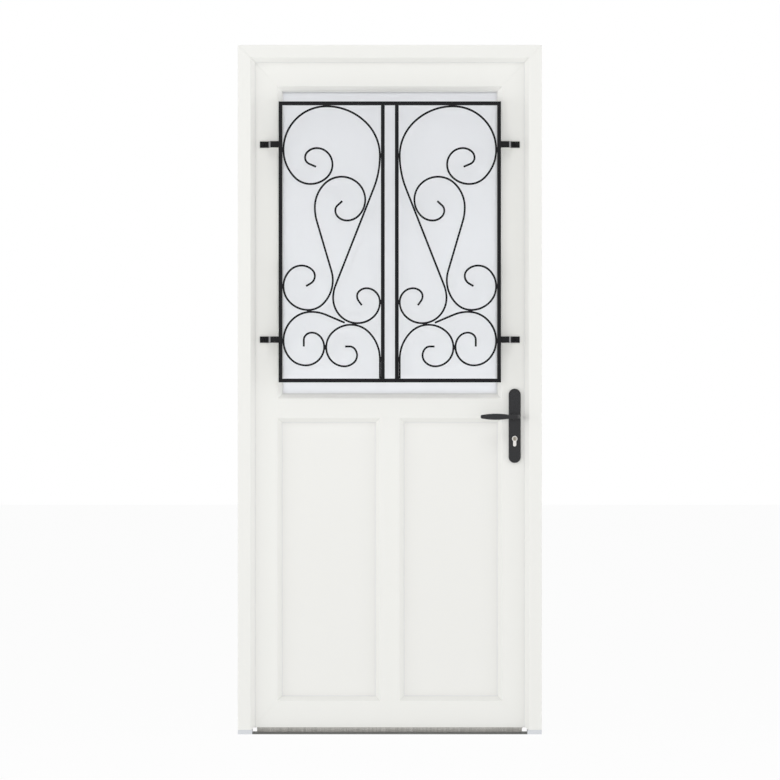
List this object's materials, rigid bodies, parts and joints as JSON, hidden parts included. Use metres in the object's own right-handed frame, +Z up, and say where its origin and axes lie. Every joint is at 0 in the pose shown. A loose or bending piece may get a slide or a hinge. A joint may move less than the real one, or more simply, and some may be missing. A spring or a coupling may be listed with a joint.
{
  "type": "glazed entrance door",
  "caption": "White uPVC entrance door, frosted glass above and flat panels below, with a wrought-iron scroll grille, lever handle, low threshold and frame; opens inwards.",
  "frame": {"origin": "middle of the threshold's underside, halfway through the frame's depth", "axes": "+Z up, +X to the right seen from outside, -Y towards the outside, +Y into the room"},
  "size_m": [0.966, 0.189, 2.19],
  "materials": {
    "white_upvc": "satin white extruded uPVC",
    "white_panel": "satin white sandwich panel",
    "grey_cap": "light grey moulded plastic",
    "mill_aluminium": "mill-finish aluminium",
    "grey_seal": "soft grey sealing rubber",
    "zinc_steel": "zinc-plated steel",
    "white_hinge": "white powder-coated hinge",
    "frosted_glass": "satin frosted glass",
    "clear_glass": "clear float glass",
    "spacer_metal": "aluminium spacer bar",
    "brush_fibre": "grey brush pile",
    "wrought_iron": "satin black painted wrought iron",
    "anthracite_handle": "anthracite powder coat",
    "nickel": "satin nickel"
  },
  "bodies": {
    "frame": {"frame_left_jamb": "white_upvc", "frame_right_jamb": "white_upvc", "frame_head": "white_upvc", "foot_cap_left": "grey_cap", "foot_cap_right": "grey_cap", "threshold": "mill_aluminium", "frame_seal": "grey_seal", "strike_keeps": "zinc_steel", "hinge_frame_parts": "white_hinge"},
    "leaf": {"leaf_hinge_stile": "white_upvc", "leaf_lock_stile": "white_upvc", "leaf_top_rail": "white_upvc", "leaf_bottom_rail": "white_upvc", "mid_rail": "white_upvc", "mullion": "white_upvc", "outer_pane": "frosted_glass", "inner_pane": "clear_glass", "glass_spacer": "spacer_metal", "panel_left": "white_panel", "panel_right": "white_panel", "glazing_gaskets": "grey_seal", "glass_beads": "white_upvc", "panel_beads_left": "white_upvc", "panel_beads_right": "white_upvc", "leaf_seal": "grey_seal", "bottom_brush": "brush_fibre", "lock_strip": "zinc_steel", "lock_bolts": "zinc_steel", "hinge_leaf_parts": "white_hinge", "grille_bar_left": "wrought_iron", "grille_bar_right": "wrought_iron", "grille_bar_bottom": "wrought_iron", "grille_bar_top": "wrought_iron", "grille_inner_bar_left": "wrought_iron", "grille_inner_bar_right": "wrought_iron", "upper_big_scrolls": "wrought_iron", "upper_small_scrolls": "wrought_iron", "lower_side_scrolls": "wrought_iron", "lower_middle_scrolls": "wrought_iron", "grille_lugs": "wrought_iron", "outer_plate": "anthracite_handle", "inner_plate": "anthracite_handle", "cylinder_body": "nickel"},
    "lever_set": {"outer_lever": "anthracite_handle", "inner_lever": "anthracite_handle", "spindle": "zinc_steel"},
    "key_plug": {"key_plug": "nickel"}
  },
  "joints": [
    {"name": "door_swing", "type": "hinge", "parent": "frame", "child": "leaf", "pos_m": [-0.469, 0.06, 1], "axis": [0, 0, 1], "range_deg": [0, 100]},
    {"name": "lever_turn", "type": "hinge", "parent": "leaf", "child": "lever_set", "pos_m": [0.397, 0, 1.009], "axis": [0, 1, 0], "range_deg": [-40, 45], "stiffness_Nm_per_rad": 5},
    {"name": "key_turn", "type": "hinge", "parent": "leaf", "child": "key_plug", "pos_m": [0.397, 0, 0.939], "axis": [0, 1, 0], "continuous": true}
  ]
}
